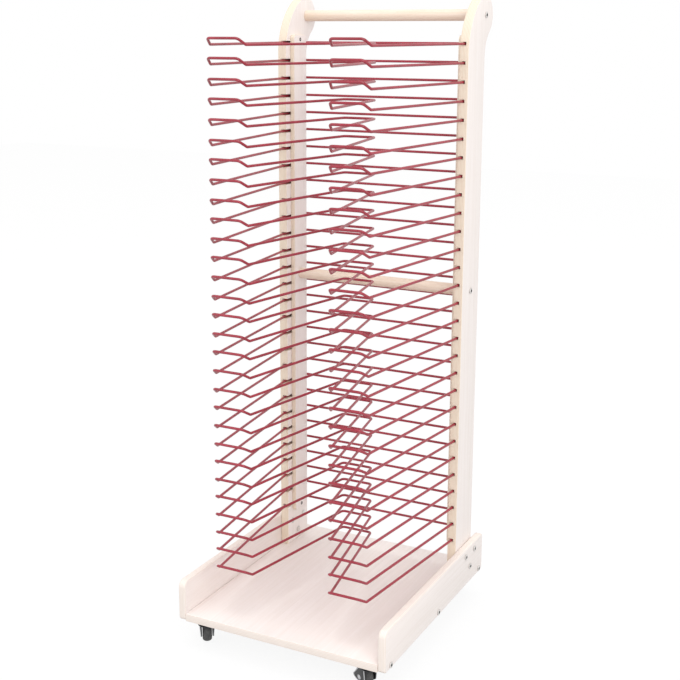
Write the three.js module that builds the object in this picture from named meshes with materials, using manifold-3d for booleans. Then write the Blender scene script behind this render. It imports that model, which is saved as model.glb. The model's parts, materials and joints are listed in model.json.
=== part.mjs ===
// Mobile art drying rack: a pale plywood stand on four swivel casters. Two uprights hold a tall
// stack of bent-wire shelves, whose legs lie in grooves behind screwed-on cover boards.
//
// Millimetres, +Z up. The shelves reach towards -Y, where wet sheets are slid in. The origin is
// on the floor, in the middle of the rack's footprint.
import * as THREE from "three";
import { mergeVertices } from "three/addons/utils/BufferGeometryUtils.js";
import Module from "manifold-3d";

// Clearances
const SEAT_GAP = 0.3; // between two pieces that are fastened together or rest on each other
const RUNNING_GAP = 0.3; // round an axle or a swivel pin
const WHEEL_SIDE_GAP = 1; // wheel to fork arm
const WHEEL_TOP_GAP = 3; // wheel to fork crown

// Base board and the two low rails along its sides
const RACK_WIDTH = 436; // over the outer faces of the rails
const BASE_DEPTH = 480; // front edge to rear edge, the rails as well
const BASE_THICKNESS = 15;
const RAIL_THICKNESS = 15;
const RAIL_HEIGHT = 80;
const RAIL_FRONT_RADIUS = 14; // upper front corner
const RAIL_CORNER_RADIUS = 7; // the other three corners

// Uprights, with a rounded head that leans back for the handle
const UPRIGHT_THICKNESS = 18;
const UPRIGHT_DEPTH = 85;
const UPRIGHT_REAR_INSET = 29; // upright rear edge to base rear edge
const HANDLE_REACH = 86; // upright front edge to the handle's centre
const HANDLE_RISE = 53; // highest shelf to the handle's centre
const HEAD_RADIUS = 38;
const SHOULDER_RADIUS = 120; // bends the front edge back to the head
const NECK_RADIUS = 60; // hollow between the head and the rear edge

// Cover boards that close the grooves
const COVER_THICKNESS = 9;
const COVER_DEPTH = 51;
const COVER_OVERLAP = 15; // past the lowest and the highest shelf
const COVER_CORNER_RADIUS = 8;

// Wire shelves, each one closed loop of wire in the plan of a letter M
const SHELF_COUNT = 29;
const SHELF_PITCH = 35;
const LOWEST_SHELF = 88; // base board to the centre of the lowest groove
const WIRE_DIAMETER = 5;
const WIRE_BEND_RADIUS = 7.5;
const GROOVE_HEIGHT = 6.5;
const GROOVE_DEPTH = 12;
const LEG_LEAD = 2; // upright front edge to the bend in the leg
const SHELF_REACH = 333; // upright front edge to the lip's bar
const LIP_RUN = 18;
const LIP_RISE = 11;
const LIP_TAPER = 6; // each side of a lip leans in by this much
const LIP_OUTER = 150; // middle of the rack to the outer end of a lip's bar
const LIP_INNER = 89; // middle of the rack to the inner end of a lip's bar
const MIDDLE_BAR = 64; // length of the short bar between the two loops
const MIDDLE_BAR_SETBACK = 40; // upright front edge to that bar
const LEAST_SAG = 0.05; // share of the groove's play that a shelf takes up as it sags
const MOST_SAG = 0.55;

// Dowels
const DOWEL_DIAMETER = 22;
const SHELF_BELOW_DOWEL = 15; // the middle dowel lies between this shelf and the next

// Bolts
const BOLT_DIAMETER = 6;
const BOLT_HEAD_DIAMETER = 12;
const BOLT_HEAD_HEIGHT = 2;
const SOCKET_WIDTH = 5; // across the corners of the hexagon
const SOCKET_DEPTH = 1.3;
const DOWEL_BOLT_GRIP = 30; // depth in the dowel's end
const UPRIGHT_BOLT_SPREAD = 48; // between the two upper bolts of an upright
const UPRIGHT_BOLT_HIGH = 49; // base board to the two upper bolts
const UPRIGHT_BOLT_LOW = 20; // base board to the lower bolt

// Casters
const CASTER_HEIGHT = 55; // floor to the underside of the base board
const CASTER_SIDE_INSET = 44; // outer face of the rail to the swivel pin
const CASTER_END_INSET = 30; // front or rear edge of the base to the swivel pin
const CASTER_TRAIL = 16; // swivel pin to axle
const WHEEL_DIAMETER = 40;
const WHEEL_WIDTH = 18;
const WHEEL_SHOULDER = 4; // bevel at the edge of the tread
const WHEEL_RECESS = 2.5; // depth of the dish in each side
const WHEEL_RIM = 6; // tread thickness outside the dish
const HUB_DIAMETER = 14;
const AXLE_DIAMETER = 6;
const AXLE_HEAD_DIAMETER = 10;
const AXLE_HEAD_HEIGHT = 1.5;
const FORK_THICKNESS = 2.2;
const FORK_CROWN_DIAMETER = 36;
const FORK_ARM_WIDTH = 16; // at the crown
const FORK_SKIRT_WIDTH = 38; // an arm's width at the axle
const FORK_SKIRT_DROP = 8; // axle to the lower edge of an arm
const PLATE_SIZE = 42;
const PLATE_THICKNESS = 2.5;
const PLATE_CORNER_RADIUS = 5;
const RACE_DIAMETER = 30; // ball race under the plate
const SWIVEL_PIN_DIAMETER = 10;
const SWIVEL_HEAD_DIAMETER = 14;
const SWIVEL_HEAD_HEIGHT = 0.8;
// Where each caster trails to at rest, in degrees from +X towards +Y.
const CASTER_TURNS = {
  front_left: 125,
  front_right: 150,
  rear_left: 135,
  rear_right: 110,
};

// Facets
const WIDE_ARC_STEPS = 5; // half the steps of an arc in the outline of an upright or a fork arm
const CORNER_STEPS = 2; // half the steps of a rounded corner
const WIRE_SIDES = 6;
const WIRE_BEND_STEPS = 2;
const SHARPEST_PLAIN_BEND = Math.PI / 5; // gentler bends need no steps
const BOLT_SIDES = 10;
const DOWEL_SIDES = 20;
const WHEEL_SIDES = 20;
const PIN_SIDES = 12;

// Finishes
const WOOD = { color: 0xf0e2d2, roughness: 0.6, metalness: 0 };
const DOWEL_WOOD = { color: 0xead3ad, roughness: 0.6, metalness: 0 };
const RED_WIRE = { color: 0xb8293a, roughness: 0.4, metalness: 0.1 };
const PLATED_STEEL = { color: 0x9c9894, roughness: 0.4, metalness: 0.9 };
const CASTER_STEEL = { color: 0x35353a, roughness: 0.4, metalness: 0.8 };
const WHEEL_RUBBER = { color: 0x4a4a4a, roughness: 0.7, metalness: 0 };

// Levels and faces that several pieces share
const wireRadius = WIRE_DIAMETER / 2;
const wheelRadius = WHEEL_DIAMETER / 2;
const boltRadius = BOLT_DIAMETER / 2;
const uprightSetback = BASE_DEPTH - UPRIGHT_REAR_INSET - UPRIGHT_DEPTH;
const overallDepth = Math.max(BASE_DEPTH, uprightSetback + HANDLE_REACH + HEAD_RADIUS);
const baseFront = -overallDepth / 2;
const baseTop = CASTER_HEIGHT + BASE_THICKNESS;
const railInnerFace = RACK_WIDTH / 2 - RAIL_THICKNESS;
const uprightOuterFace = railInnerFace - SEAT_GAP;
const uprightInnerFace = uprightOuterFace - UPRIGHT_THICKNESS;
const coverOuterFace = uprightInnerFace - SEAT_GAP;
const coverInnerFace = coverOuterFace - COVER_THICKNESS;
const uprightFront = baseFront + uprightSetback;
const uprightMiddle = uprightFront + UPRIGHT_DEPTH / 2;
const uprightRear = uprightFront + UPRIGHT_DEPTH;
const coverRear = uprightMiddle + COVER_DEPTH / 2;
const highestShelf = shelfLevel(SHELF_COUNT);
const handle = { y: uprightFront + HANDLE_REACH, z: highestShelf + HANDLE_RISE };
const middleDowel = {
  y: uprightMiddle,
  z: (shelfLevel(SHELF_BELOW_DOWEL) + shelfLevel(SHELF_BELOW_DOWEL + 1)) / 2,
};

// Height of a shelf's groove above the floor, with the lowest shelf as number 1.
function shelfLevel(number) {
  return baseTop + LOWEST_SHELF + (number - 1) * SHELF_PITCH;
}

// Solids

const wasm = await Module();
wasm.setup();

function solidOf(geometry) {
  const bare = geometry.clone();
  bare.deleteAttribute("normal");
  bare.deleteAttribute("uv");
  const merged = mergeVertices(bare);
  const vertProperties = merged.attributes.position.array;
  const triVerts = new Uint32Array(merged.index.array);
  return new wasm.Manifold(new wasm.Mesh({ numProp: 3, vertProperties, triVerts }));
}

function geometryOf(solid) {
  const { vertProperties, triVerts } = solid.getMesh();
  const geometry = new THREE.BufferGeometry();
  geometry.setAttribute("position", new THREE.BufferAttribute(vertProperties, 3));
  geometry.setIndex(new THREE.BufferAttribute(triVerts, 1));
  geometry.computeVertexNormals();
  return geometry;
}

function join(geometries) {
  return geometryOf(geometries.map(solidOf).reduce((whole, piece) => whole.add(piece)));
}

function cut(geometry, tools) {
  return geometryOf(tools.map(solidOf).reduce((rest, tool) => rest.subtract(tool), solidOf(geometry)));
}

// Turns a shape's own x, y and z into world Y, Z and X.
const SIDEWAYS = new THREE.Matrix4().makeBasis(
  new THREE.Vector3(0, 1, 0),
  new THREE.Vector3(0, 0, 1),
  new THREE.Vector3(1, 0, 0),
);

// A board of the outline drawn in Y and Z, between two faces along X.
function sideBoard(outline, innerFace, outerFace, curveSegments) {
  const depth = Math.abs(outerFace - innerFace);
  const options = { depth, bevelEnabled: false, curveSegments };
  const board = new THREE.ExtrudeGeometry(outline, options).applyMatrix4(SIDEWAYS);
  return board.translate(Math.min(innerFace, outerFace), 0, 0);
}

function boxBetween(low, high) {
  const size = high.map((value, axis) => value - low[axis]);
  const centre = high.map((value, axis) => (value + low[axis]) / 2);
  return new THREE.BoxGeometry(...size).translate(...centre);
}

// A round bar along X between two faces. A hole's flats, not its corners, keep the radius.
function barAlongX(radius, from, to, { y, z }, sides) {
  const bar = new THREE.CylinderGeometry(radius, radius, Math.abs(to - from), sides);
  return bar.rotateZ(Math.PI / 2).translate((from + to) / 2, y, z);
}

function holeAlongX(radius, from, to, centre) {
  return barAlongX(radius / Math.cos(Math.PI / BOLT_SIDES), from, to, centre, BOLT_SIDES);
}

// A rectangle with its own radius at each corner, counted from the lower front one.
function roundedOutline(low, high, [lowFront, lowRear, highRear, highFront]) {
  const outline = new THREE.Shape();
  const quarter = Math.PI / 2;
  outline.absarc(low[0] + lowFront, low[1] + lowFront, lowFront, 2 * quarter, 3 * quarter);
  outline.absarc(high[0] - lowRear, low[1] + lowRear, lowRear, 3 * quarter, 4 * quarter);
  outline.absarc(high[0] - highRear, high[1] - highRear, highRear, 0, quarter);
  outline.absarc(low[0] + highFront, high[1] - highFront, highFront, quarter, 2 * quarter);
  return outline;
}

function node(name, geometry, finish) {
  const mesh = new THREE.Mesh(geometry, new THREE.MeshStandardMaterial(finish));
  mesh.name = name;
  return mesh;
}

// Places where bolts go, each a centre in Y and Z

const uprightBolts = {
  front: { y: uprightMiddle - UPRIGHT_BOLT_SPREAD / 2, z: baseTop + UPRIGHT_BOLT_HIGH },
  rear: { y: uprightMiddle + UPRIGHT_BOLT_SPREAD / 2, z: baseTop + UPRIGHT_BOLT_HIGH },
  low: { y: uprightMiddle, z: baseTop + UPRIGHT_BOLT_LOW },
};
const boltHole = boltRadius + SEAT_GAP;

// Boards

function baseBoard() {
  const half = railInnerFace - SEAT_GAP;
  const low = [-half, baseFront, CASTER_HEIGHT];
  const high = [half, baseFront + BASE_DEPTH, baseTop];
  return node("base_board", boxBetween(low, high), WOOD);
}

function rail(name, side) {
  const low = [baseFront, CASTER_HEIGHT];
  const high = [baseFront + BASE_DEPTH, CASTER_HEIGHT + RAIL_HEIGHT];
  const corner = RAIL_CORNER_RADIUS;
  const outline = roundedOutline(low, high, [corner, corner, corner, RAIL_FRONT_RADIUS]);
  const outerFace = (side * RACK_WIDTH) / 2;
  const board = sideBoard(outline, side * railInnerFace, outerFace, CORNER_STEPS);
  const holes = Object.values(uprightBolts).map((centre) =>
    holeAlongX(boltHole, 0, side * RACK_WIDTH, centre),
  );
  return node(`${name}_rail`, cut(board, holes), WOOD);
}

// The shoulder touches the front edge and goes round the head from outside. The neck touches
// the rear edge and the head from the hollow side.
function uprightOutline() {
  const shoulder = { y: uprightFront + SHOULDER_RADIUS };
  const shoulderReach = SHOULDER_RADIUS - HEAD_RADIUS;
  shoulder.z = handle.z - Math.sqrt(shoulderReach ** 2 - (shoulder.y - handle.y) ** 2);
  const neck = { y: uprightRear + NECK_RADIUS };
  neck.z = handle.z - Math.sqrt((NECK_RADIUS + HEAD_RADIUS) ** 2 - (neck.y - handle.y) ** 2);
  const neckTurn = Math.atan2(neck.z - handle.z, neck.y - handle.y);
  const shoulderTurn = Math.atan2(handle.z - shoulder.z, handle.y - shoulder.y);

  const outline = new THREE.Shape();
  outline.moveTo(uprightFront, baseTop + SEAT_GAP);
  outline.lineTo(uprightRear, baseTop + SEAT_GAP);
  outline.absarc(neck.y, neck.z, NECK_RADIUS, Math.PI, Math.PI + neckTurn, true);
  outline.absarc(handle.y, handle.z, HEAD_RADIUS, neckTurn, shoulderTurn);
  outline.absarc(shoulder.y, shoulder.z, SHOULDER_RADIUS, shoulderTurn, Math.PI);
  return outline;
}

function upright(name, side) {
  const inner = side * uprightInnerFace;
  const outer = side * uprightOuterFace;
  const board = sideBoard(uprightOutline(), inner, outer, WIDE_ARC_STEPS);
  const grooveEnds = [inner - side * SEAT_GAP, inner + side * GROOVE_DEPTH].sort((a, b) => a - b);
  const grooves = Array.from({ length: SHELF_COUNT }, (_, index) => {
    const level = shelfLevel(index + 1);
    const low = [grooveEnds[0], uprightFront - SEAT_GAP, level - GROOVE_HEIGHT / 2];
    const high = [grooveEnds[1], uprightRear + SEAT_GAP, level + GROOVE_HEIGHT / 2];
    return boxBetween(low, high);
  });
  const centres = [...Object.values(uprightBolts), handle, middleDowel];
  const holes = centres.map((centre) => holeAlongX(boltHole, 0, side * RACK_WIDTH, centre));
  return node(`${name}_upright`, cut(board, [...grooves, ...holes]), WOOD);
}

function grooveCover(name, side) {
  const low = [coverRear - COVER_DEPTH, shelfLevel(1) - COVER_OVERLAP];
  const high = [coverRear, highestShelf + COVER_OVERLAP];
  const outline = roundedOutline(low, high, Array(4).fill(COVER_CORNER_RADIUS));
  const [inner, outer] = [side * coverInnerFace, side * coverOuterFace];
  const board = sideBoard(outline, inner, outer, CORNER_STEPS);
  const hole = holeAlongX(boltHole, 0, side * RACK_WIDTH, middleDowel);
  return node(`${name}_groove_cover`, cut(board, [hole]), WOOD);
}

// A dowel between two facing boards, with a blind hole for a bolt in each end.
function dowel(name, boardFace, centre) {
  const end = boardFace - SEAT_GAP;
  const bar = barAlongX(DOWEL_DIAMETER / 2, -end, end, centre, DOWEL_SIDES);
  const bottom = boardFace - DOWEL_BOLT_GRIP - SEAT_GAP;
  const holes = [-1, 1].map((side) =>
    holeAlongX(boltHole, side * bottom, side * (end + SEAT_GAP), centre),
  );
  return node(name, cut(bar, holes), DOWEL_WOOD);
}

// Wire shelves

// A closed bent wire as a curve that steps from ring to ring, so that a straight stretch has no
// rings of its own. At each ring the tangent is the mean of the two stretches that meet there.
class BentWire extends THREE.Curve {
  constructor(rings) {
    super();
    this.rings = rings;
  }
  ring(index) {
    const count = this.rings.length;
    return this.rings[(index + count) % count];
  }
  getPointAt(u, target = new THREE.Vector3()) {
    return target.copy(this.ring(Math.round(u * this.rings.length)));
  }
  getTangentAt(u, target = new THREE.Vector3()) {
    const index = Math.round(u * this.rings.length);
    const arriving = target.subVectors(this.ring(index), this.ring(index - 1)).normalize();
    const leaving = new THREE.Vector3().subVectors(this.ring(index + 1), this.ring(index));
    return arriving.add(leaving.normalize()).normalize();
  }
}

// The rings of one bend: points on an arc that touches the stretches before and after a corner.
function bendRings(before, corner, after) {
  const arriving = new THREE.Vector3().subVectors(corner, before).normalize();
  const leaving = new THREE.Vector3().subVectors(after, corner).normalize();
  const turn = arriving.angleTo(leaving);
  if (turn < SHARPEST_PLAIN_BEND) return [corner];
  const start = corner.clone().addScaledVector(arriving, -WIRE_BEND_RADIUS * Math.tan(turn / 2));
  const inward = leaving.clone().addScaledVector(arriving, -Math.cos(turn)).normalize();
  const centre = start.clone().addScaledVector(inward, WIRE_BEND_RADIUS);
  return Array.from({ length: WIRE_BEND_STEPS + 1 }, (_, step) => {
    const angle = (turn * step) / WIRE_BEND_STEPS;
    return centre
      .clone()
      .addScaledVector(inward, -WIRE_BEND_RADIUS * Math.cos(angle))
      .addScaledVector(arriving, WIRE_BEND_RADIUS * Math.sin(angle));
  });
}

// The corners of one shelf about the place where its legs leave the uprights. The wire runs from
// the bar behind the covers, which it reaches clear of them, along a leg, up over the lip and back
// to the short middle bar. The lip narrows from its fold to its bar. The other half mirrors it.
function shelfCorners() {
  const rearBar = coverRear - uprightFront + SEAT_GAP + wireRadius;
  const leg = uprightInnerFace + WIRE_BEND_RADIUS;
  const middle = MIDDLE_BAR / 2;
  const fold = LIP_RUN - SHELF_REACH;
  const half = [
    [leg, rearBar, 0],
    [leg, -LEG_LEAD, 0],
    [LIP_OUTER + LIP_TAPER, fold, 0],
    [LIP_OUTER, -SHELF_REACH, LIP_RISE],
    [LIP_INNER, -SHELF_REACH, LIP_RISE],
    [LIP_INNER - LIP_TAPER, fold, 0],
    [middle, -MIDDLE_BAR_SETBACK, 0],
  ];
  const mirrored = half.map(([x, y, z]) => [-x, y, z]).reverse();
  return [...half, ...mirrored].map((corner) => new THREE.Vector3(...corner));
}

function shelfGeometry() {
  const corners = shelfCorners();
  const count = corners.length;
  const rings = corners.flatMap((corner, index) =>
    bendRings(corners[(index + count - 1) % count], corner, corners[(index + 1) % count]),
  );
  return new THREE.TubeGeometry(new BentWire(rings), rings.length, wireRadius, WIRE_SIDES, true);
}

// Each shelf rests on the front edges of its groove floors and sags by its own share of the
// play, which the golden ratio spreads evenly but without a pattern.
function wireShelf(number, geometry) {
  const play = GROOVE_HEIGHT - WIRE_DIAMETER - 2 * SEAT_GAP;
  const heldLength = coverRear - uprightFront + WIRE_DIAMETER;
  const goldenRatio = (1 + Math.sqrt(5)) / 2;
  const share = LEAST_SAG + (MOST_SAG - LEAST_SAG) * ((number * goldenRatio) % 1);
  const shelf = node(`wire_shelf_${String(number).padStart(2, "0")}`, geometry, RED_WIRE);
  const grooveFloor = shelfLevel(number) - GROOVE_HEIGHT / 2;
  shelf.position.set(0, uprightFront, grooveFloor + SEAT_GAP + wireRadius);
  shelf.rotation.x = Math.atan((share * play) / heldLength);
  return shelf;
}

// Bolts

// A bolt along X with its head outside. A connector bolt has a second head, its cap nut's.
function bolt(name, side, headFace, tipFace, centre, hasCapNut) {
  const length = headFace - tipFace;
  const head = BOLT_HEAD_DIAMETER / 2;
  const profile = [
    [0, BOLT_HEAD_HEIGHT],
    [head, BOLT_HEAD_HEIGHT],
    [head, 0],
    [boltRadius, 0],
    [boltRadius, -length],
  ];
  if (hasCapNut) profile.push([head, -length], [head, -length - BOLT_HEAD_HEIGHT]);
  profile.push([0, profile.at(-1)[1]]);
  const points = profile.reverse().map(([x, y]) => new THREE.Vector2(x, y));
  const body = new THREE.LatheGeometry(points, BOLT_SIDES);
  const socketRadius = SOCKET_WIDTH / 2;
  const socket = new THREE.CylinderGeometry(socketRadius, socketRadius, 2 * SOCKET_DEPTH, 6);
  socket.translate(0, BOLT_HEAD_HEIGHT, 0);
  const geometry = cut(body, [socket]).rotateZ((-side * Math.PI) / 2);
  return node(name, geometry.translate(side * headFace, centre.y, centre.z), PLATED_STEEL);
}

function boltsOf(name, side) {
  const railFace = RACK_WIDTH / 2 + SEAT_GAP;
  const uprightFace = uprightOuterFace + SEAT_GAP;
  const connectors = Object.entries(uprightBolts).map(([place, centre]) => {
    const boltName = `${name}_upright_bolt_${place}`;
    return bolt(boltName, side, railFace, uprightInnerFace - SEAT_GAP, centre, true);
  });
  const handleTip = uprightInnerFace - DOWEL_BOLT_GRIP;
  const middleTip = coverInnerFace - DOWEL_BOLT_GRIP;
  return [
    ...connectors,
    bolt(`${name}_handle_bolt`, side, uprightFace, handleTip, handle, false),
    bolt(`${name}_middle_dowel_bolt`, side, uprightFace, middleTip, middleDowel, false),
  ];
}

// Casters, built about the swivel pin with the floor at zero and the wheel trailing along +X

const crownBottom = WHEEL_DIAMETER + WHEEL_TOP_GAP;
const crownTop = crownBottom + FORK_THICKNESS;
const raceBottom = crownTop + RUNNING_GAP;
const plateTop = CASTER_HEIGHT - SEAT_GAP;
const plateBottom = plateTop - PLATE_THICKNESS;
const swivelHeadTop = plateTop - SEAT_GAP;
const swivelHeadBottom = swivelHeadTop - SWIVEL_HEAD_HEIGHT;
const armInnerFace = WHEEL_WIDTH / 2 + WHEEL_SIDE_GAP;
const armOuterFace = armInnerFace + FORK_THICKNESS;

function discAlongZ(radius, from, to, sides) {
  const disc = new THREE.CylinderGeometry(radius, radius, to - from, sides);
  return disc.rotateX(Math.PI / 2).translate(0, 0, (from + to) / 2);
}

// The fixed plate with its ball race, bored for the swivel pin and its head.
function casterPlate(name) {
  const half = PLATE_SIZE / 2;
  const outline = roundedOutline([-half, -half], [half, half], Array(4).fill(PLATE_CORNER_RADIUS));
  const options = { depth: PLATE_THICKNESS, bevelEnabled: false, curveSegments: CORNER_STEPS };
  const plate = new THREE.ExtrudeGeometry(outline, options).translate(0, 0, plateBottom);
  const race = discAlongZ(RACE_DIAMETER / 2, raceBottom, plateBottom + SEAT_GAP, WHEEL_SIDES);
  const facets = Math.cos(Math.PI / PIN_SIDES);
  const pinHole = (SWIVEL_PIN_DIAMETER / 2 + RUNNING_GAP) / facets;
  const headHole = (SWIVEL_HEAD_DIAMETER / 2 + RUNNING_GAP) / facets;
  const geometry = cut(join([plate, race]), [
    discAlongZ(pinHole, 0, CASTER_HEIGHT, PIN_SIDES),
    discAlongZ(headHole, swivelHeadBottom - RUNNING_GAP, CASTER_HEIGHT, PIN_SIDES),
  ]);
  return node(`${name}_caster_plate`, geometry, CASTER_STEEL);
}

// One arm of the fork, drawn in X and Z: an upright front edge, and a round skirt below the axle.
function forkArm(from, to) {
  const top = crownTop - FORK_THICKNESS / 2;
  const half = FORK_SKIRT_WIDTH / 2;
  const front = CASTER_TRAIL - half;
  const outline = new THREE.Shape();
  outline.moveTo(front, top);
  outline.absellipse(CASTER_TRAIL, wheelRadius, half, FORK_SKIRT_DROP, Math.PI, 2 * Math.PI);
  outline.lineTo(front + FORK_ARM_WIDTH, top);
  const options = { depth: to - from, bevelEnabled: false, curveSegments: WIDE_ARC_STEPS };
  return new THREE.ExtrudeGeometry(outline, options).rotateX(Math.PI / 2).translate(0, to, 0);
}

function axleAlongY(radius, from, to) {
  const axle = new THREE.CylinderGeometry(radius, radius, to - from, PIN_SIDES);
  return axle.translate(CASTER_TRAIL, (from + to) / 2, wheelRadius);
}

// The swivelling fork: crown, arms, riveted axle and swivel pin are one rigid piece.
function casterFork(name) {
  const axleTip = armOuterFace + AXLE_HEAD_HEIGHT;
  const axleHead = AXLE_HEAD_DIAMETER / 2;
  const geometry = join([
    discAlongZ(FORK_CROWN_DIAMETER / 2, crownBottom, crownTop, WHEEL_SIDES),
    forkArm(armInnerFace, armOuterFace),
    forkArm(-armOuterFace, -armInnerFace),
    axleAlongY(AXLE_DIAMETER / 2, -armOuterFace, armOuterFace),
    axleAlongY(axleHead, armOuterFace - FORK_THICKNESS / 2, axleTip),
    axleAlongY(axleHead, -axleTip, FORK_THICKNESS / 2 - armOuterFace),
    discAlongZ(SWIVEL_PIN_DIAMETER / 2, crownBottom, swivelHeadTop, PIN_SIDES),
    discAlongZ(SWIVEL_HEAD_DIAMETER / 2, swivelHeadBottom, swivelHeadTop, PIN_SIDES),
  ]);
  return node(`${name}_caster_fork`, geometry, CASTER_STEEL);
}

// The wheel turns on Y. Its flats carry the radius, so that one of them lies on the floor.
function casterWheel(name) {
  const facets = Math.cos(Math.PI / WHEEL_SIDES);
  const tread = wheelRadius / facets;
  const bore = (AXLE_DIAMETER / 2 + RUNNING_GAP) / facets;
  const half = WHEEL_WIDTH / 2;
  const rimEdge = tread - WHEEL_RIM;
  const side = [
    [bore, half],
    [HUB_DIAMETER / 2, half],
    [HUB_DIAMETER / 2, half - WHEEL_RECESS],
    [rimEdge, half - WHEEL_RECESS],
    [rimEdge, half],
    [tread - WHEEL_SHOULDER, half],
    [tread, half - WHEEL_SHOULDER],
  ];
  const otherSide = side.map(([radius, y]) => [radius, -y]).reverse();
  const profile = [...side, ...otherSide, side[0]].reverse();
  const points = profile.map((point) => new THREE.Vector2(...point));
  const geometry = new THREE.LatheGeometry(points, WHEEL_SIDES);
  geometry.rotateY(Math.PI / WHEEL_SIDES).translate(CASTER_TRAIL, 0, wheelRadius);
  return node(`${name}_caster_wheel`, geometry, WHEEL_RUBBER);
}

function caster(name, turn) {
  const [end, side] = name.split("_");
  const x = RACK_WIDTH / 2 - CASTER_SIDE_INSET;
  const y = end === "front" ? CASTER_END_INSET : BASE_DEPTH - CASTER_END_INSET;
  const swivel = new THREE.Group().add(casterFork(name), casterWheel(name));
  swivel.rotation.z = THREE.MathUtils.degToRad(turn);
  const whole = new THREE.Group().add(casterPlate(name), swivel);
  whole.position.set(side === "left" ? -x : x, baseFront + y, 0);
  return whole;
}

// The whole rack

const rack = new THREE.Group();
rack.name = "art_drying_rack";
rack.add(baseBoard());
for (const [name, side] of Object.entries({ left: -1, right: 1 })) {
  rack.add(rail(name, side), upright(name, side), grooveCover(name, side));
  rack.add(...boltsOf(name, side));
}
rack.add(dowel("handle_dowel", uprightInnerFace, handle));
rack.add(dowel("middle_dowel", coverInnerFace, middleDowel));
const wire = shelfGeometry();
for (let number = 1; number <= SHELF_COUNT; number += 1) rack.add(wireShelf(number, wire));
for (const [name, turn] of Object.entries(CASTER_TURNS)) rack.add(caster(name, turn));

export default rack;
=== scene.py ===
"""Looks of the mobile art drying rack: pale plywood boards, red bent-wire shelves, plated bolts
and four swivel casters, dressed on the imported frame.

Metres, +Z up. The shelves reach towards -Y, and the origin is on the floor under the rack.
"""

import json
import math

import bpy
import numpy as np
from mathutils import Matrix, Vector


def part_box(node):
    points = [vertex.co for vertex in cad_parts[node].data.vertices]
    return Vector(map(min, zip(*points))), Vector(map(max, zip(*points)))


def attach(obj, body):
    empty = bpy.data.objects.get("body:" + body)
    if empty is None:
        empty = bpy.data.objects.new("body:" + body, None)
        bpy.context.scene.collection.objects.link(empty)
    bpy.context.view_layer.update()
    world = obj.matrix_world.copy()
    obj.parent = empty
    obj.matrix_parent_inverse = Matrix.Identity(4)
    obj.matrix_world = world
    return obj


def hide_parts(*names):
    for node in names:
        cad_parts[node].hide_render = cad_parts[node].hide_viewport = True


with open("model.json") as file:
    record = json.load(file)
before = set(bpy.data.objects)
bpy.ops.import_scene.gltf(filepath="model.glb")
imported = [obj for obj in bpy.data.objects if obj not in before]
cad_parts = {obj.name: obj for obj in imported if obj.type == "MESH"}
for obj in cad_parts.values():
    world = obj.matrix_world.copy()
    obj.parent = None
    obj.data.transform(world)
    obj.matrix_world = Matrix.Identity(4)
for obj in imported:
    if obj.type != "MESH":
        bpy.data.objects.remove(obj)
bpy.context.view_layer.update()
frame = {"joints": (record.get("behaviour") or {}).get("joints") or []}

SIDES = {"left": -1, "right": 1}
CASTERS = ("front_left", "front_right", "rear_left", "rear_right")
UP = np.array((0.0, 0.0, 1.0))
SHARP_ANGLE = math.radians(38)  # a steeper edge between two faces shows as a crease

# Boards
BASE_EASE = 0.0008  # radius of a board's eased edges
RAIL_EASE = 0.003
UPRIGHT_EASE = 0.0012
COVER_EASE = 0.0012
BASE_CORNER = 0.0012
RAIL_CORNERS = (0.007, 0.007, 0.007, 0.014)  # low front, low rear, high rear, high front
COVER_CORNER = 0.008
UPRIGHT_DEPTH = 0.085
HEAD_RADIUS = 0.038
SHOULDER_RADIUS = 0.12
NECK_RADIUS = 0.06
GROOVE_HEIGHT = 0.0065
GROOVE_DEPTH = 0.012
EASE_STEPS = 4
CORNER_STEPS = 10
HEAD_STEPS = 40
FACE_SHARE = 0.9  # least part of a normal that lies along the thickness on a board's faces

# Wire shelves
SHELF_COUNT = 29
SHELF_PITCH = 0.035
LOWEST_GROOVE = 0.158
WIRE_RADIUS = 0.0025
WIRE_BEND = 0.0075
SEAT_GAP = 0.0003  # between a wire and what holds it
LEG_LEAD = 0.002  # from the upright's front to the turn of a leg
SHELF_REACH = 0.333
LIP_RUN = 0.018  # from a lip's fold to its bar
LIP_RISE = 0.011
LIP_TAPER = 0.006  # how far each side of a lip leans in over that run
LIP_OUTER = 0.15
LIP_INNER = 0.089
MIDDLE_BAR_HALF = 0.032
MIDDLE_BAR_SETBACK = 0.04
LEAST_SAG = 0.05  # shares of the groove's play that a tipped shelf takes up
MOST_SAG = 0.55
WIRE_SIDES = 14
BEND_STEPS = 8

# Bolts and screws
BOLT_RADIUS = 0.003
BOLT_TIP_RADIUS = 0.8 * BOLT_RADIUS
BOLT_TIP_LENGTH = 0.0006
BOLT_HEAD_RADIUS = 0.006
BOLT_HEAD_HEIGHT = 0.002
HEAD_ROUNDING = 0.0007
HEAD_EDGE_STEPS = 4
SOCKET_RADIUS = 0.0028  # to the corners of the hexagon
SOCKET_MOUTH = 1.12 * SOCKET_RADIUS
SOCKET_LEAD = 0.0002  # depth over which the mouth narrows
SOCKET_DEPTH = 0.0017
RAIL_BOLT_INSETS = (0.0235, 0.243, 0.46)  # from the base's front edge
RAIL_BOLT_RISE = 0.008  # from the rail's lower edge
RAIL_BOLT_GRIP = 0.04
RAIL_BOLT_GAP = 0.0001  # between a head and the rail's face
COVER_SCREW_INSET = 0.009  # from the ends of a cover
PLATE_SCREW_OFFSET = 0.0155  # from the swivel pin, both ways
SCREW_HEAD_RADIUS = 0.0036
SCREW_SINK = 0.0002
SCREW_FOOT = 0.97  # this and the next four are shares of the head's radius
SCREW_DOME_RISE = 0.55
SCREW_FLAT_RISE = 0.08
RECESS_REACH = 0.55
RECESS_DEPTH = 0.3
RECESS_TAPER = 0.85  # the recess's floor over its mouth
RECESS_ARM_HALF = 0.3  # half the width of a recess arm over its length
DOME_STEPS = 6
TURNED_SIDES = 48

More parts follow.
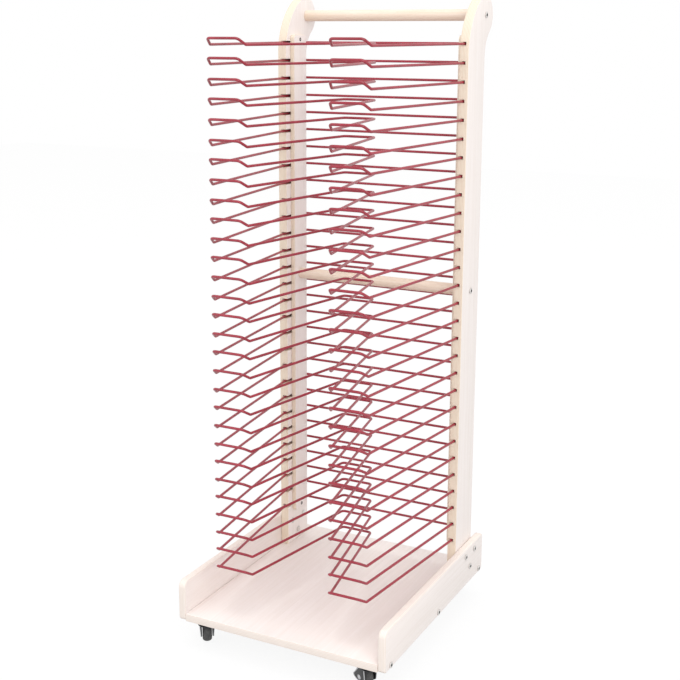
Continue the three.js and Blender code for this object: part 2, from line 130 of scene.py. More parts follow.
# Casters, about the swivel pin with the wheel trailing along x
PLATE_HALF = 0.021
PLATE_CORNER = 0.005
PLATE_EASE = 0.0005
PLATE_LOWER = 0.0522
PLATE_UPPER = 0.0547
ARM_EASE = 0.0005
ARM_WIDTH = 0.016  # at the crown
ARM_INNER = 0.01
ARM_OUTER = 0.0122
ARM_FLARE = 0.0022  # how far an arm leans out between axle and crown
SKIRT_HALF = 0.019  # half an arm's width at the axle
SKIRT_DROP = 0.008
SKIRT_STEPS = 32
BEAD_RADIUS = 0.0011
BEAD_SIDES = 12
CROWN_LEVEL = 0.0441
AXLE_LEVEL = 0.02
RIVET_RADIUS = 0.005
RIVET_RISE = 0.0015
WHEEL_RADIUS = 0.02
WHEEL_HALF = 0.009
WHEEL_SIDES = 72
HUB_RADIUS = 0.01395  # the wheel is tread outside it
TREAD_HALF = 0.00895
TREAD_SWELL = 0.0055
TREAD_RIDGES = 12
RIDGE_DEPTH = 0.0002
RIDGE_STEPS = 4  # for each ridge

# Sections of turned pieces: the radius and the height or half width at each station
RACE_SECTION = (
    (0.0053, 0.0455), (0.0142, 0.0455), (0.015, 0.0462), (0.015, 0.0482), (0.0144, 0.0488),
    (0.015, 0.0494), (0.015, 0.0515), (0.0144, 0.0521), (0.0053, 0.0521),
)
CROWN_SECTION = (
    (0.0166, 0.043), (0.0176, 0.0432), (0.018, 0.0438), (0.018, 0.0446), (0.0175, 0.0451),
    (0.0165, 0.0452), (0.005, 0.0452), (0.005, 0.0519),
)
WHEEL_FLANK = (
    (0.0033, 0.009), (0.0066, 0.009), (0.007, 0.0086), (0.0074, 0.0068), (0.0128, 0.0065),
    (0.0136, 0.0068), (0.0139, 0.0086), (0.0142, 0.009),
)

# Colours, two tones where a pattern runs from one to the other
VENEER_TONES = (0.845, 0.775, 0.735), (0.915, 0.855, 0.83)
VENEER_CLOUD = (0.895, 0.82, 0.775)
VENEER_PORE = (0.55, 0.41, 0.30)
SEALED_TONES = (0.88, 0.80, 0.75), (0.82, 0.72, 0.64)
BARE_TONES = (0.85, 0.755, 0.63), (0.735, 0.605, 0.465)
BEECH_TONES = (0.79, 0.645, 0.51), (0.87, 0.755, 0.65)
BEECH_FLECK = (0.52, 0.33, 0.19)
ENAMEL_TONES = (0.27, 0.010, 0.026), (0.36, 0.016, 0.040)
# The black oxide tones also serve as painted shade: they darken the insides of the plated bolts'
# sockets.
OXIDE_AND_SOCKET_SHADE_TONES = (0.018, 0.017, 0.016), (0.05, 0.047, 0.044)
NICKEL_TONES = (0.60, 0.58, 0.56), (0.76, 0.74, 0.715)
LACQUER_TONES = (0.010, 0.010, 0.011), (0.022, 0.022, 0.023)
STEEL_TONES = (0.42, 0.42, 0.43), (0.62, 0.62, 0.63)
ZINC_TONES = (0.30, 0.30, 0.31), (0.48, 0.48, 0.49)
HUB_TONES = (0.016, 0.016, 0.017), (0.034, 0.034, 0.035)
TREAD_TONES = (0.055, 0.055, 0.056), (0.115, 0.114, 0.112)

# Camera and light
CAMERA_PLACE = (1.0010, -1.9504, 1.1499)
CAMERA_RIGHT = (0.8894, 0.4572, 0.0039)
CAMERA_AHEAD = (-0.4462, 0.8699, -0.2099)
CAMERA_LENS = 62.26
CAMERA_SENSOR = 36  # in millimetres, like the lens
CAMERA_SHIFT_UP = -0.0750
DOME_STRENGTH = 0.9
FLOOR_HALF = 8.0
FLOOR_BOUNCE = 0.54  # the floor's tone in the light that it throws back
FLOOR_TONE = 0.95  # the floor's tone to the camera
FLOOR_GLOW = 0.9  # share of plain white laid over that
LIGHT_AIM = (0, 0, 0.6)
SOFTBOXES = {  # place, width and watts
    "key_light": ((2.5, -2.3, 2.1), 2.4, 52),
    "fill_light": ((-2.4, -2.0, 1.8), 2.4, 16),
    "top_light": ((0.3, -0.3, 8.0), 5.0, 185),
}


# Shapes

def unit(vectors):
    """Each vector divided by its own length."""
    return vectors / np.linalg.norm(vectors, axis=-1, keepdims=True)


def even_angles(sides):
    """That many angles, evenly round a whole turn."""
    return np.linspace(0, 2 * math.pi, sides, endpoint=False)


def arc(centre, radius, start, end, steps):
    """The centre plus the radius times cosine and sine of even angles from start to end."""
    angles = np.linspace(start, end, steps + 1)
    return np.asarray(centre) + radius * np.stack((np.cos(angles), np.sin(angles)), -1)


def rounded_rectangle(low, high, radii):
    """Four quarter arcs, each as far from its corner as its own radius, run counter-clockwise
    from the low corner and joined by straight edges."""
    quarter = math.pi / 2
    signs = np.array(((1, 1), (-1, 1), (-1, -1), (1, -1)))
    corners = np.array((low, (high[0], low[1]), high, (low[0], high[1])))
    centres = corners + signs * np.asarray(radii)[:, None]
    return np.concatenate([
        arc(centre, radius, (turn + 2) * quarter, (turn + 3) * quarter, CORNER_STEPS)
        for turn, (centre, radius) in enumerate(zip(centres, radii))
    ])


def upright_outline(front, foot, head):
    """In depth and height: a straight strip, a hollow neck arc that touches the rear edge and the
    head, the head's arc, and a wide shoulder arc that touches the head and the front edge."""
    rear = front + UPRIGHT_DEPTH
    shoulder_reach = SHOULDER_RADIUS - HEAD_RADIUS
    shoulder_run = front + SHOULDER_RADIUS - head[0]
    shoulder = (head[0] + shoulder_run, head[1] - math.sqrt(shoulder_reach**2 - shoulder_run**2))
    neck_reach = NECK_RADIUS + HEAD_RADIUS
    neck_run = rear + NECK_RADIUS - head[0]
    neck = (head[0] + neck_run, head[1] - math.sqrt(neck_reach**2 - neck_run**2))
    neck_turn = math.atan2(neck[1] - head[1], neck[0] - head[0])
    shoulder_turn = math.atan2(head[1] - shoulder[1], head[0] - shoulder[0])
    return np.concatenate((
        ((front, foot), (rear, foot)),
        arc(neck, NECK_RADIUS, math.pi, math.pi + neck_turn, HEAD_STEPS),
        arc(head, HEAD_RADIUS, neck_turn, shoulder_turn, HEAD_STEPS)[1:],
        arc(shoulder, SHOULDER_RADIUS, shoulder_turn, math.pi, HEAD_STEPS)[1:],
    ))


def board_rings(outline, near, far, ease):
    """Rings of a board over its thickness. Along quarter circles at both faces the outline is
    drawn in by ease times one minus the sine, at a depth of ease times one minus the cosine."""
    arriving = unit(outline - np.roll(outline, 1, 0))
    leaving = np.roll(arriving, -1, 0)
    outward = (arriving + leaving)[:, ::-1] * (1, -1)
    mitre = outward / (1 + (arriving * leaving).sum(-1, keepdims=True))
    quarter = np.linspace(0, math.pi / 2, EASE_STEPS + 1)
    inset = ease * (1 - np.sin(quarter))
    depth = ease * (1 - np.cos(quarter))
    insets = np.concatenate((inset, inset[::-1]))
    depths = np.concatenate((near + depth, far - depth[::-1]))
    flat = outline - insets[:, None, None] * mitre
    across = np.broadcast_to(depths[:, None, None], (*flat.shape[:2], 1))
    return np.concatenate((flat, across), -1)


def bent_path(corners, radius, steps):
    """A closed path with every corner rounded: an arc that starts the radius times the tangent of
    half the turn before the corner and swings about a centre on the inner side."""
    arriving = unit(corners - np.roll(corners, 1, 0))
    leaving = np.roll(arriving, -1, 0)
    cosine = (arriving * leaving).sum(-1, keepdims=True)
    turn = np.arccos(cosine)
    inward = unit(leaving - arriving * cosine)
    start = corners - arriving * radius * np.tan(turn / 2)
    angle = turn[:, None] * np.linspace(0, 1, steps + 1)[None, :, None]
    swing = (1 - np.cos(angle)) * inward[:, None] + np.sin(angle) * arriving[:, None]
    return (start[:, None] + radius * swing).reshape(-1, 3)


def wire_rings(path, radius, sides, upright=UP):
    """A circle carried along a closed path, square to the mean of the two stretches that meet at
    each point, with one of its directions kept nearest to the upright one."""
    arriving = unit(path - np.roll(path, 1, 0))
    along = unit(arriving + np.roll(arriving, -1, 0))
    aside = unit(np.cross(upright, along))
    lift = np.cross(along, aside)
    angle = even_angles(sides)[None, :, None]
    return path[:, None] + radius * (np.cos(angle) * aside[:, None] + np.sin(angle) * lift[:, None])


def round_shape(sides):
    """The factor one at every angle."""
    return np.ones(sides)


def hexagon_shape(sides):
    """Distance of a hexagon's edge over that of its corners: the cosine of 30 degrees over the
    cosine of the angle from the middle of the nearest edge."""
    off_edge = even_angles(sides) % (math.pi / 3) - math.pi / 6
    return math.cos(math.pi / 6) / np.cos(off_edge)


def cross_shape(sides):
    """Distance of a cross recess's edge over the length of its arms: the nearer of an arm's end and
    an arm's side at the angle from the nearest arm. A small turn keeps that angle off nought."""
    small_turn = 0.001
    off_arm = (even_angles(sides) + small_turn + math.pi / 4) % (math.pi / 2) - math.pi / 4
    return np.minimum(1 / np.cos(off_arm), RECESS_ARM_HALF / np.abs(np.sin(off_arm)))


def turned_rings(section, centre, axis, sides, shapes=None):
    """Rings round an axis. Each station of the section gives a radius and a height, and its radius
    times the shape's factor is laid out at even angles on two directions square to the axis."""
    section = np.asarray(section)
    axis = unit(np.asarray(axis, float))
    upright_axis = np.allclose(np.abs(axis), UP)
    first = unit(np.cross(axis, (1, 0, 0) if upright_axis else UP))
    second = np.cross(axis, first)
    angle = even_angles(sides)
    spokes = np.cos(angle)[:, None] * first + np.sin(angle)[:, None] * second
    factors = np.ones((len(section), sides)) if shapes is None else np.asarray(shapes)
    radii = section[:, :1] * factors
    return np.asarray(centre) + section[:, 1, None, None] * axis + radii[..., None] * spokes


# Pieces

def piece(name, points, faces, finishes, body, chosen=None, replaces=()):
    """A mesh piece from points and faces, smooth but for its sharp edges, which rides on a body."""
    mesh = bpy.data.meshes.new(name)
    mesh.from_pydata(points, [], faces)
    mesh.polygons.foreach_set("use_smooth", np.ones(len(mesh.polygons), bool))
    mesh.set_sharp_from_angle(angle=SHARP_ANGLE)
    for finish in finishes:
        mesh.materials.append(finish)
    if chosen is not None:
        mesh.polygons.foreach_set("material_index", np.asarray(chosen, np.int32))
    mesh.update()
    obj = bpy.data.objects.new(name, mesh)
    bpy.context.scene.collection.objects.link(obj)
    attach(obj, body)
    if replaces:
        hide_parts(*replaces)
    return obj


def skin(rings, looped=False):
    """Points and faces of a skin over rings that turn counter-clockwise about the way from one to
    the next: quads between neighbours, and a flat cap at each end unless the rings close."""
    count, sides = rings.shape[:2]
    index = np.arange(count * sides).reshape(count, sides)
    here = index if looped else index[:-1]
    there = np.roll(index, -1, 0) if looped else index[1:]
    quads = np.stack((here, np.roll(here, -1, 1), np.roll(there, -1, 1), there), -1)
    faces = quads.reshape(-1, 4).tolist()
    if not looped:
        faces += [index[0, ::-1].tolist(), index[-1].tolist()]
    return rings.reshape(-1, 3), faces


def gathered(parts):
    """One list of points and faces from several, with the later faces counted on."""
    starts = np.cumsum([0] + [len(points) for points, _ in parts])
    faces = [[start + corner for corner in face]
             for start, (_, found) in zip(starts, parts) for face in found]
    return np.concatenate([points for points, _ in parts]), faces


def face_choice(obj, axis):
    """Marks the faces that look along the axis as a board's faces, and all others as its edges."""
    mesh = obj.data
    normals = np.empty(len(mesh.polygons) * 3, np.float32)
    mesh.polygons.foreach_get("normal", normals)
    edge = np.abs(normals.reshape(-1, 3)[:, axis]) < FACE_SHARE
    mesh.polygons.foreach_set("material_index", edge.astype(np.int32))
    mesh.update()


def cut_out(obj, boxes):
    """Takes boxes, given by their low and high corners, out of a piece and keeps the result."""
    low, high = np.asarray(boxes).transpose(1, 0, 2)[:, :, None]
    corners = np.array([(x, y, z) for z in (0, 1) for y in (0, 1) for x in (0, 1)])
    points = (low + (high - low) * corners).reshape(-1, 3)
    sides = np.array((
        (0, 2, 3, 1), (4, 5, 7, 6), (0, 1, 5, 4), (2, 6, 7, 3), (0, 4, 6, 2), (1, 3, 7, 5),
    ))
    faces = (sides + len(corners) * np.arange(len(boxes))[:, None, None]).reshape(-1, 4)
    cutter_mesh = bpy.data.meshes.new("groove_cutter")
    cutter_mesh.from_pydata(points, [], faces.tolist())
    cutter = bpy.data.objects.new("groove_cutter", cutter_mesh)
    bpy.context.scene.collection.objects.link(cutter)
    modifier = obj.modifiers.new("grooves", "BOOLEAN")
    modifier.operation = "DIFFERENCE"
    modifier.solver = "EXACT"
    modifier.object = cutter
    whole = obj.data
    depsgraph = bpy.context.evaluated_depsgraph_get()
    obj.data = bpy.data.meshes.new_from_object(obj.evaluated_get(depsgraph))
    obj.modifiers.clear()
    bpy.data.objects.remove(cutter)
    bpy.data.meshes.remove(cutter_mesh)
    bpy.data.meshes.remove(whole)
    obj.data.name = obj.name
    obj.data.set_sharp_from_angle(angle=SHARP_ANGLE)


# Finishes

def new_finish(name, **sockets):
    """A material whose shader sockets, written with _ for spaces, hold these plain values."""
    finish = bpy.data.materials.new(name)
    finish.use_nodes = True
    shader = finish.node_tree.nodes["Principled BSDF"]
    for socket, value in sockets.items():
        shader.inputs[socket.replace("_", " ")].default_value = value
    return finish, finish.node_tree, shader


def add(tree, kind, inputs=None, **settings):
    """A node of that kind, with its settings, and each input set to a value or linked."""
    node = tree.nodes.new("ShaderNode" + kind)
    for setting, value in settings.items():
        setattr(node, setting, value)
    for socket, value in (inputs or {}).items():
        if isinstance(value, bpy.types.NodeSocket):
            tree.links.new(value, node.inputs[socket])
        else:
            node.inputs[socket].default_value = value
    return node


def place_of(tree, scale=(1, 1, 1)):
    """The piece's own coordinates, stretched by the scale along each axis."""
    coordinates = add(tree, "TexCoord").outputs["Object"]
    return add(tree, "Mapping", {"Vector": coordinates, "Scale": scale}).outputs[0]


def stretched(along, slow, fast):
    """A scale that is slow along the grain's axis and fast across it."""
    return tuple(slow if axis == along else fast for axis in range(3))


def noise(tree, place, scale=1.0, detail=2.0, roughness=0.55, distortion=0.0):
    """A cloudy pattern over a place, mostly between 0.3 and 0.7."""
    inputs = {"Vector": place, "Scale": scale, "Detail": detail, "Roughness": roughness}
    return add(tree, "TexNoise", {**inputs, "Distortion": distortion}).outputs[0]


def spread(tree, value, given, wanted):
    """The value's given range, carried over to the wanted one and held inside it."""
    inputs = {"Value": value, "From Min": given[0], "From Max": given[1],
              "To Min": wanted[0], "To Max": wanted[1]}
    return add(tree, "MapRange", inputs).outputs[0]


def shades(tree, value, given, tones):
    """Colours from the first tone to the second as the value goes through the given range."""
    ramp = add(tree, "ValToRGB", {"Fac": value})
    for stop, place, colour in zip(ramp.color_ramp.elements, given, tones):
        stop.position = place
        stop.color = (*colour, 1)
    return ramp.outputs[0]


def over(tree, share, under, colour):
    """A plain colour laid by a share over a pattern. Among the sockets of a colour mix, 0 is the
    share, 6 and 7 are the colours, and 2 is what comes out."""
    mix = add(tree, "Mix", {0: share, 6: under, 7: (*colour, 1)}, data_type="RGBA")
    return mix.outputs[2]


def dress(tree, shader, colour, roughness, height, strength, distance):
    """Feeds the shader its colour and roughness, and a bump of that height pattern."""
    bump = add(tree, "Bump", {"Height": height, "Strength": strength, "Distance": distance})
    tree.links.new(colour, shader.inputs["Base Color"])
    tree.links.new(roughness, shader.inputs["Roughness"])
    tree.links.new(bump.outputs[0], shader.inputs["Normal"])


def veneer(name, along):
    """Pale whitewashed veneer: long fibres along the grain, slow clouds and short fine pores."""
    finish, tree, shader = new_finish(name, Specular_IOR_Level=0.35)
    fibre_place = place_of(tree, stretched(along, 5, 170))
    fibre = noise(tree, fibre_place, detail=7.0, roughness=0.62, distortion=0.25)
    cloud = noise(tree, place_of(tree), scale=6.0)
    pore = noise(tree, place_of(tree, stretched(along, 60, 1100)))
    tone = shades(tree, fibre, (0.3, 0.72), VENEER_TONES)
    tone = over(tree, spread(tree, cloud, (0.35, 0.7), (0.0, 0.4)), tone, VENEER_CLOUD)
    tone = over(tree, spread(tree, pore, (0.6, 0.75), (0.0, 0.16)), tone, VENEER_PORE)
    roughness = spread(tree, fibre, (0.2, 0.8), (0.58, 0.46))
    dress(tree, shader, tone, roughness, fibre, strength=0.12, distance=0.0002)
    return finish


def ply_edge(name, across, tones):
    """The edge of a plywood board: a pale and a darker layer every 2.8 mm over its thickness, with
    streaks along them."""
    finish, tree, shader = new_finish(name, Specular_IOR_Level=0.3)
    wave = {"Scale": 112.0, "Distortion": 0.6, "Detail": 2.0, "Detail Scale": 3.0}
    layers = add(tree, "TexWave", {"Vector": place_of(tree), **wave},
                 bands_direction="XYZ"[across]).outputs[1]
    streak_place = place_of(tree, stretched(across, 900, 45))
    streak = noise(tree, streak_place, detail=5.0, roughness=0.6)
    tone = shades(tree, layers, (0.15, 0.75), tones)
    tone = over(tree, spread(tree, streak, (0.35, 0.7), (0.0, 0.55)), tone, tones[0])
    roughness = spread(tree, streak, (0.3, 0.7), (0.66, 0.52))
    dress(tree, shader, tone, roughness, layers, strength=0.15, distance=0.0002)
    return finish


def dowel_wood():
    """Golden beech, with fine streaks along the dowel and short flecks."""
    finish, tree, shader = new_finish("beech_dowel", Specular_IOR_Level=0.15)
    fibre_place = place_of(tree, stretched(0, 7, 330))
    fibre = noise(tree, fibre_place, detail=6.0, roughness=0.6, distortion=0.2)
    fleck = noise(tree, place_of(tree, stretched(0, 120, 1500)))
    tone = shades(tree, fibre, (0.3, 0.72), BEECH_TONES)
    tone = over(tree, spread(tree, fleck, (0.58, 0.7), (0.0, 0.3)), tone, BEECH_FLECK)
    roughness = spread(tree, fibre, (0.2, 0.8), (0.62, 0.5))
    dress(tree, shader, tone, roughness, fibre, strength=0.1, distance=0.0002)
    return finish


def red_enamel():
    """Baked red enamel with a slight orange-peel skin and cloudy depth of colour."""
    coat = {"Coat_Weight": 0.35, "Coat_Roughness": 0.14, "Coat_IOR": 1.5}
    finish, tree, shader = new_finish("red_enamel", **coat)
    place = place_of(tree)
    cloud = noise(tree, place, scale=35.0, detail=3.0)
    peel = noise(tree, place, scale=1500.0)
    tone = shades(tree, cloud, (0.3, 0.7), ENAMEL_TONES)
    roughness = spread(tree, peel, (0.3, 0.7), (0.34, 0.46))
    dress(tree, shader, tone, roughness, peel, strength=0.06, distance=0.0001)
    return finish


def mottled(name, tones, metallic, roughness):
    """A metal or painted surface with a fine mottle between two tones and a rolled texture."""
    finish, tree, shader = new_finish(name, Metallic=metallic)
    place = place_of(tree)
    mottle = noise(tree, place, scale=260.0, detail=5.0, roughness=0.65)
    fine = noise(tree, place, scale=2600.0)
    tone = shades(tree, mottle, (0.3, 0.7), tones)
    gloss = spread(tree, mottle, (0.3, 0.7), (roughness - 0.06, roughness + 0.08))
    dress(tree, shader, tone, gloss, fine, strength=0.05, distance=0.0001)
    return finish


def tread_rubber():
    """Grey rubber with a dusty bloom and a fine moulded grain."""
    finish, tree, shader = new_finish("grey_tread", Specular_IOR_Level=0.4)
    place = place_of(tree)
    bloom = noise(tree, place, scale=140.0, detail=5.0, roughness=0.6)
    grain = noise(tree, place, scale=3200.0)
    tone = shades(tree, bloom, (0.3, 0.72), TREAD_TONES)
    roughness = spread(tree, bloom, (0.3, 0.7), (0.6, 0.8))
    dress(tree, shader, tone, roughness, grain, strength=0.15, distance=0.0002)
    return finish


VENEER_DEEP = veneer("veneer_front_to_back", along=1)
VENEER_TALL = veneer("veneer_upright", along=2)
EDGE_BASE = ply_edge("sealed_edge_base", across=2, tones=SEALED_TONES)
EDGE_RAIL = ply_edge("sealed_edge_rail", across=0, tones=SEALED_TONES)
EDGE_UPRIGHT = ply_edge("ply_edge_upright", across=0, tones=BARE_TONES)
DOWEL = dowel_wood()
RED = red_enamel()
# Black oxide for the cover screws, and painted shade inside the sockets of the plated bolts.
BLACK_OXIDE_AND_SOCKET_SHADE = mottled("black_oxide_and_socket_shade", OXIDE_AND_SOCKET_SHADE_TONES, metallic=0.7, roughness=0.42)
BOLT_NICKEL = mottled("nickel_plate", NICKEL_TONES, metallic=1.0, roughness=0.3)
BLACK_LACQUER = mottled("black_lacquer", LACQUER_TONES, metallic=0.0, roughness=0.34)
BARE_STEEL = mottled("bare_steel", STEEL_TONES, metallic=1.0, roughness=0.32)
SCREW_ZINC = mottled("screw_zinc", ZINC_TONES, metallic=1.0, roughness=0.38)
TREAD = tread_rubber()
HUB = mottled("black_hub", HUB_TONES, metallic=0.0, roughness=0.5)


# Boards

def board(name, outline, near, far, ease, axes, finishes):
    """A board whose outline and thickness run along the three named axes."""
    order = ["xyz".index(axis) for axis in axes]
    rings = np.empty((2 * EASE_STEPS + 2, len(outline), 3))
    rings[..., order] = board_rings(outline, near, far, ease)
    points, faces = skin(rings)
    obj = piece(f"{name}_board", points, faces, finishes, "rack", replaces=(name,))
    face_choice(obj, order[2])
    return obj


low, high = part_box("base_board")
base_outline = rounded_rectangle(low[:2], high[:2], (BASE_CORNER,) * 4)
board("base_board", base_outline, low.z, high.z, BASE_EASE, "xyz", (VENEER_DEEP, EDGE_BASE))
base_front = low.y

groove_levels = LOWEST_GROOVE + SHELF_PITCH * np.arange(SHELF_COUNT)
for side_name, side in SIDES.items():
    low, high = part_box(f"{side_name}_rail")
    outline = rounded_rectangle(low[1:], high[1:], RAIL_CORNERS)
    board(f"{side_name}_rail", outline, low.x, high.x, RAIL_EASE, "yzx", (VENEER_DEEP, EDGE_RAIL))

    low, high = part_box(f"{side_name}_groove_cover")
    outline = rounded_rectangle(low[1:], high[1:], (COVER_CORNER,) * 4)
    board(f"{side_name}_groove_cover", outline, low.x, high.x, COVER_EASE, "yzx",
          (VENEER_TALL, EDGE_UPRIGHT))

    low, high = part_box(f"{side_name}_upright")
    outline = upright_outline(low.y, low.z, (high.y - HEAD_RADIUS, high.z - HEAD_RADIUS))
    upright = board(f"{side_name}_upright", outline, low.x, high.x, UPRIGHT_EASE, "yzx",
                    (VENEER_TALL, EDGE_UPRIGHT))
    inner = low.x if side > 0 else high.x
    near, far = sorted((inner - side * UPRIGHT_EASE, inner + side * GROOVE_DEPTH))
    front, rear = low.y - UPRIGHT_EASE, high.y + UPRIGHT_EASE
    grooves = [((near, front, level - GROOVE_HEIGHT / 2), (far, rear, level + GROOVE_HEIGHT / 2))
               for level in groove_levels]
    cut_out(upright, grooves)
    face_choice(upright, 0)
upright_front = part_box("left_upright")[0].y


# Dowels

def dowel(name):
    """A turned bar along x with a small chamfer at each end."""
    low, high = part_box(name)
    radius = (high.z - low.z) / 2
    length = high.x - low.x
    chamfer = radius / 20
    section = (
        (radius - chamfer, 0),
        (radius, chamfer),
        (radius, length - chamfer),
        (radius - chamfer, length),
    )
    centre = (low.x, (low.y + high.y) / 2, (low.z + high.z) / 2)
    points, faces = skin(turned_rings(section, centre, (1, 0, 0), TURNED_SIDES))
    piece(f"{name}_bar", points, faces, (DOWEL,), "rack", replaces=(name,))


dowel("handle_dowel")
dowel("middle_dowel")


# Wire shelves

def shelf_corners():
    """One half of the wire's corners from the bar behind the covers over the lip to the middle
    bar, then its mirror image, about the place where the legs leave the uprights. The lip narrows
    from its fold to its bar."""
    rear_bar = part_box("left_groove_cover")[1].y - upright_front + SEAT_GAP + WIRE_RADIUS
    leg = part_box("right_upright")[0].x + WIRE_BEND
    fold = LIP_RUN - SHELF_REACH
    half = np.array((
        (leg, rear_bar, 0),
        (leg, -LEG_LEAD, 0),
        (LIP_OUTER + LIP_TAPER, fold, 0),
        (LIP_OUTER, -SHELF_REACH, LIP_RISE),
        (LIP_INNER, -SHELF_REACH, LIP_RISE),
        (LIP_INNER - LIP_TAPER, fold, 0),
        (MIDDLE_BAR_HALF, -MIDDLE_BAR_SETBACK, 0),
    ))
    return np.concatenate((half, half[::-1] * (-1, 1, 1)))


def wire_shelf(number, path, held_length):
    """The shelf's path, tipped about its seat by the share of the groove's play that it takes up,
    which steps of the golden ratio spread without a pattern."""
    golden_ratio = (1 + math.sqrt(5)) / 2
    share = LEAST_SAG + (MOST_SAG - LEAST_SAG) * (number * golden_ratio % 1)
    play = GROOVE_HEIGHT - 2 * WIRE_RADIUS - 2 * SEAT_GAP
    tip = math.atan(share * play / held_length)
    cosine, sine = math.cos(tip), math.sin(tip)
    turn = np.array(((1, 0, 0), (0, cosine, -sine), (0, sine, cosine)))
    seat = groove_levels[number - 1] - GROOVE_HEIGHT / 2 + SEAT_GAP + WIRE_RADIUS
    placed = path @ turn.T + (0, upright_front, seat)
    name = f"wire_shelf_{number:02d}"
    points, faces = skin(wire_rings(placed, WIRE_RADIUS, WIRE_SIDES), looped=True)
    piece(f"{name}_wire", points, faces, (RED,), "rack", replaces=(name,))


shelf_path = bent_path(shelf_corners(), WIRE_BEND, BEND_STEPS)
held_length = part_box("left_groove_cover")[1].y - upright_front + 2 * WIRE_RADIUS
for number in range(1, SHELF_COUNT + 1):
    wire_shelf(number, shelf_path, held_length)


# Bolts and screws

def socket_head():
    """Stations of a bolt head over its seat, from the rim round the edge to the socket's floor, and
    which of them follow the hexagon."""
    edge_centre = (BOLT_HEAD_RADIUS - HEAD_ROUNDING, BOLT_HEAD_HEIGHT - HEAD_ROUNDING)
    edge = arc(edge_centre, HEAD_ROUNDING, 0, math.pi / 2, HEAD_EDGE_STEPS)
    head = [(BOLT_HEAD_RADIUS - HEAD_ROUNDING / 3, 0), *map(tuple, edge)]
    socket = [
        (SOCKET_MOUTH, BOLT_HEAD_HEIGHT),
        (SOCKET_RADIUS, BOLT_HEAD_HEIGHT - SOCKET_LEAD),
        (SOCKET_RADIUS, BOLT_HEAD_HEIGHT - SOCKET_DEPTH),
    ]
    return head + socket, [False] * len(head) + [True] * len(socket)


def bolt(name, head_seat, side, grip, cap_nut=False, replaces=()):
    """A bolt along x, turned from its tip or cap nut out to the hexagon socket in its head. The
    faces come band by band from the first station on, then the first cap and the last one, so the
    socket, painted black as painted shade inside the plated head, is the last bands and the last
    cap."""
    if cap_nut:
        nut_end = -grip - BOLT_HEAD_HEIGHT
        start = [
            (BOLT_HEAD_RADIUS - HEAD_ROUNDING, nut_end),
            (BOLT_HEAD_RADIUS, nut_end + HEAD_ROUNDING),
            (BOLT_HEAD_RADIUS, -grip),
            (BOLT_RADIUS, -grip),
        ]
    else:
        start = [(BOLT_TIP_RADIUS, -grip), (BOLT_RADIUS, BOLT_TIP_LENGTH - grip)]
    head, on_hexagon = socket_head()
    stations = start + [(BOLT_RADIUS, 0)] + head
    kinds = [False] * (len(start) + 1) + on_hexagon
    shapes = [hexagon_shape(TURNED_SIDES) if kind else round_shape(TURNED_SIDES) for kind in kinds]
    points, faces = skin(turned_rings(stations, head_seat, (side, 0, 0), TURNED_SIDES, shapes))
    first_band = len(stations) - sum(on_hexagon)
    # The socket's faces are painted black: painted shade for the dark inside of a plated socket.
    painted_socket_shade = np.arange(len(faces)) >= first_band * TURNED_SIDES
    painted_socket_shade[-2] = False
    piece(name, points, faces, (BOLT_NICKEL, BLACK_OXIDE_AND_SOCKET_SHADE), "rack",
          chosen=painted_socket_shade, replaces=replaces)


def cad_bolt(node, side, cap_nut):
    """A bolt that stands for its node, from the outer face of its head to the other end."""
    low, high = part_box(node)
    outer = high.x if side > 0 else low.x
    length = high.x - low.x - BOLT_HEAD_HEIGHT * (2 if cap_nut else 1)
    seat = (outer - side * BOLT_HEAD_HEIGHT, (low.y + high.y) / 2, (low.z + high.z) / 2)
    bolt(f"{node}_piece", seat, side, length, cap_nut=cap_nut, replaces=(node,))


def dome_section(radius, rise):
    """Quarter of an ellipse from the rim to just short of the top."""
    swell = np.linspace(0, math.pi / 2, DOME_STEPS + 1)[:-1]
    return np.stack((radius * np.cos(swell), rise * np.sin(swell)), -1)


def cross_screw(seat, axis, domed):
    """Points and faces of a screw head: a disc with a domed or flat top and a cross recess."""
    radius = SCREW_HEAD_RADIUS
    rise = radius * (SCREW_DOME_RISE if domed else SCREW_FLAT_RISE)
    reach = radius * RECESS_REACH
    foot = ((radius * SCREW_FOOT, -SCREW_SINK),)
    cap = dome_section(radius, rise)[:-1] if domed else ((radius, rise),)
    recess = ((reach, rise), (reach * RECESS_TAPER, rise - radius * RECESS_DEPTH))
    stations = np.concatenate((foot, cap, recess))
    kinds = [round_shape] * (len(foot) + len(cap)) + [cross_shape] * len(recess)
    shapes = [kind(TURNED_SIDES) for kind in kinds]
    return skin(turned_rings(stations, seat, axis, TURNED_SIDES, shapes))


for side_name, side in SIDES.items():
    for place in ("front", "rear", "low"):
        cad_bolt(f"{side_name}_upright_bolt_{place}", side, cap_nut=True)
    cad_bolt(f"{side_name}_handle_bolt", side, cap_nut=False)
    cad_bolt(f"{side_name}_middle_dowel_bolt", side, cap_nut=False)

    low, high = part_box(f"{side_name}_rail")
    rail_face = high.x if side > 0 else low.x
    for inset, place in zip(RAIL_BOLT_INSETS, ("front", "middle", "rear")):
        seat = (rail_face + side * RAIL_BOLT_GAP, base_front + inset, low.z + RAIL_BOLT_RISE)
        bolt(f"{side_name}_rail_bolt_{place}", seat, side, RAIL_BOLT_GRIP)

    low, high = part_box(f"{side_name}_groove_cover")
    cover_face = low.x if side > 0 else high.x
    for level, place in ((low.z + COVER_SCREW_INSET, "low"), (high.z - COVER_SCREW_INSET, "high")):
        seat = (cover_face, (low.y + high.y) / 2, level)
        points, faces = cross_screw(seat, (-side, 0, 0), domed=False)
        piece(f"{side_name}_cover_screw_{place}", points, faces, (BLACK_OXIDE_AND_SOCKET_SHADE,), "rack")


# Casters

